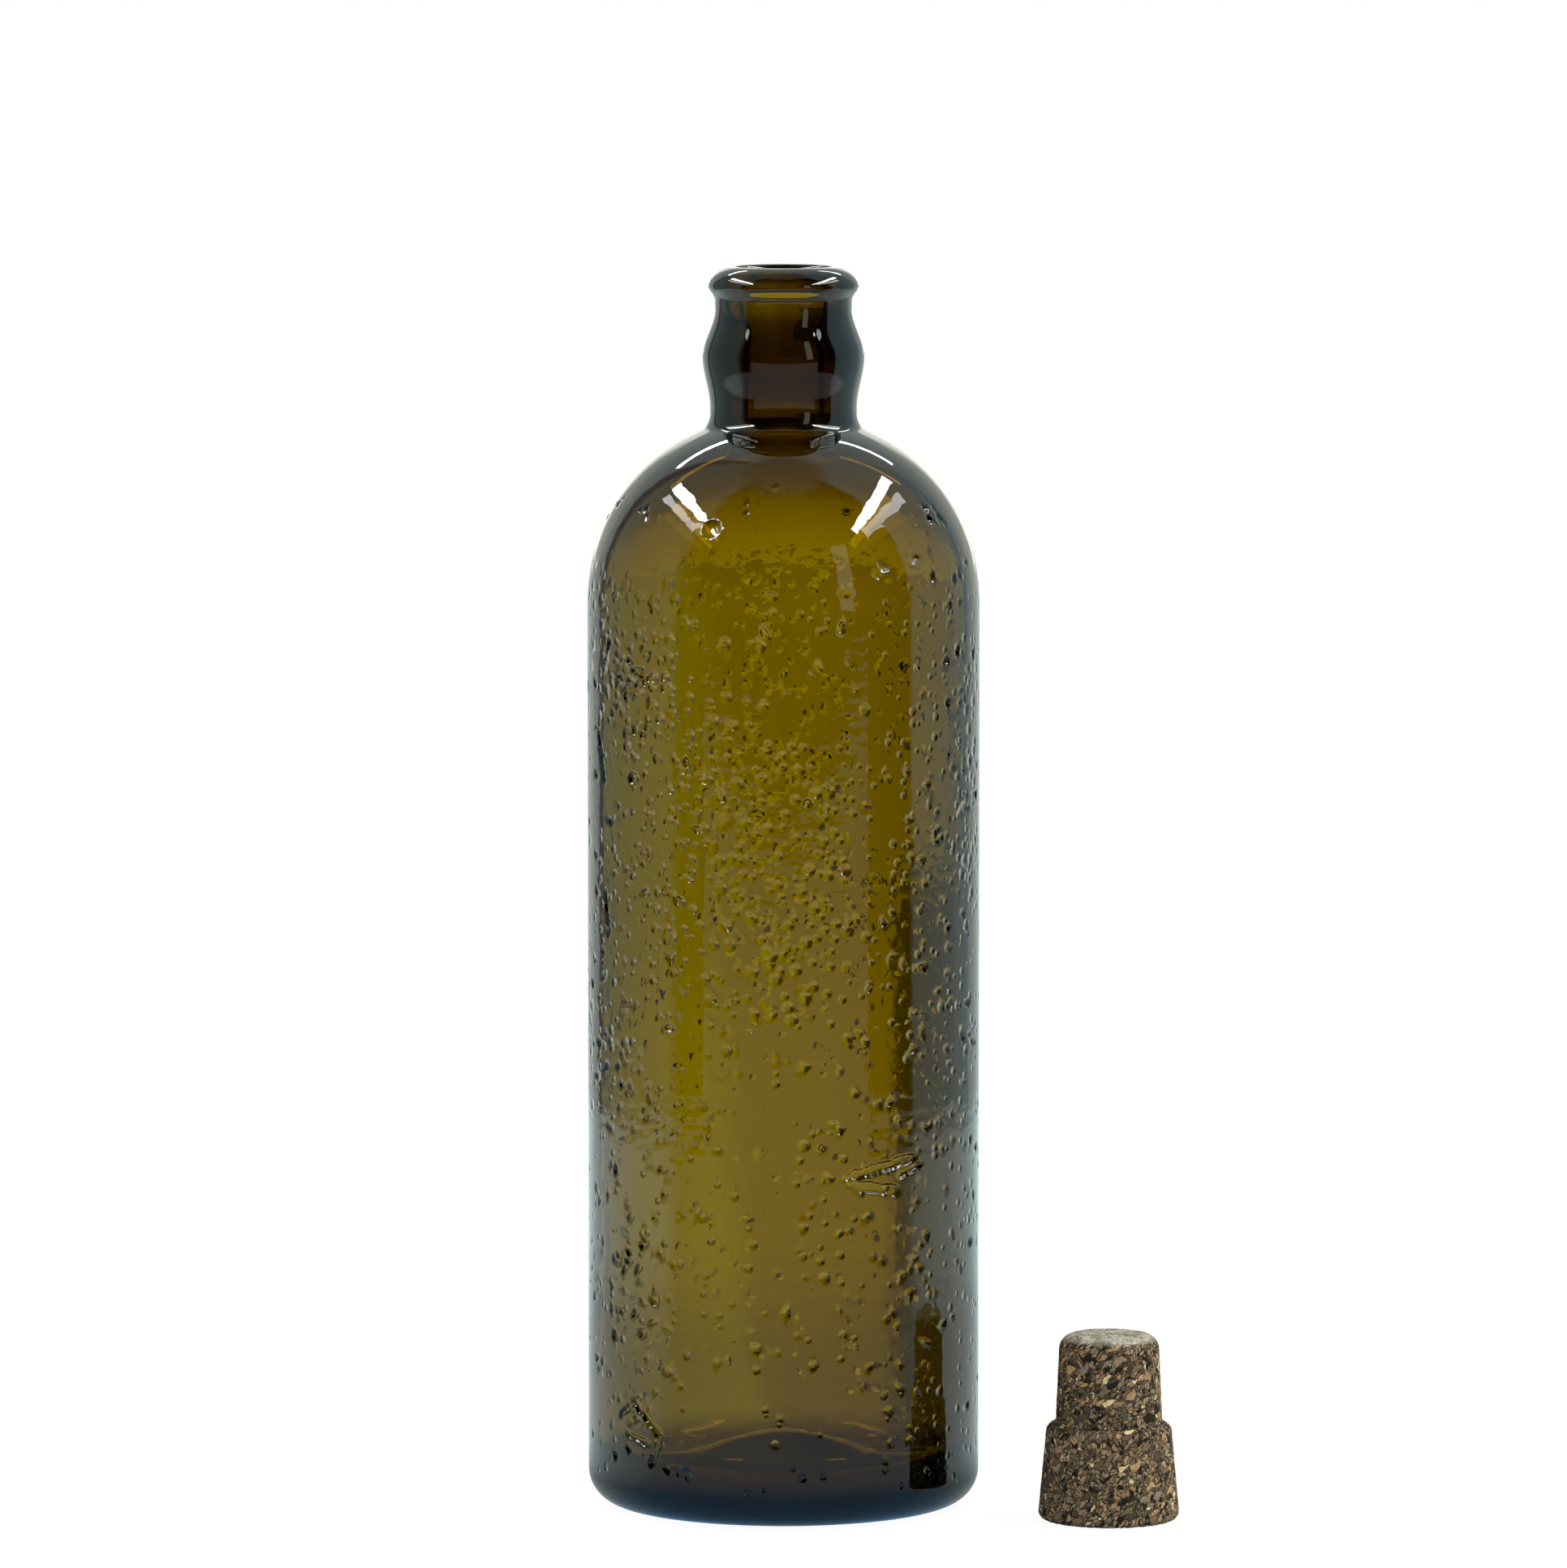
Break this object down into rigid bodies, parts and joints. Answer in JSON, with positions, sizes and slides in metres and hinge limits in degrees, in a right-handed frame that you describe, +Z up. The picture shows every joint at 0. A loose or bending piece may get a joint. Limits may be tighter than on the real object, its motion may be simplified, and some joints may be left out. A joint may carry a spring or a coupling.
{
  "type": "glass bottle with cork stopper",
  "caption": "Round olive glass bottle with a domed shoulder and a swollen neck, open and empty, with its stepped cork stopper standing beside it.",
  "frame": {"origin": "on the standing plane, below the middle of the box round the bottle and the stopper", "axes": "+Z up along the bottle's axis, +X from the bottle towards the stopper, -Y towards the viewer of the front"},
  "size_m": [0.1144, 0.076, 0.2408],
  "materials": {
    "glass": "olive amber container glass, glossy, with pitted outer surface on the body and smooth neck",
    "cork": "pressed cork granules, brown and tan with near-black gaps, matt"
  },
  "bodies": {
    "root": {"bottle": "glass", "cork": "cork"}
  },
  "joints": []
}
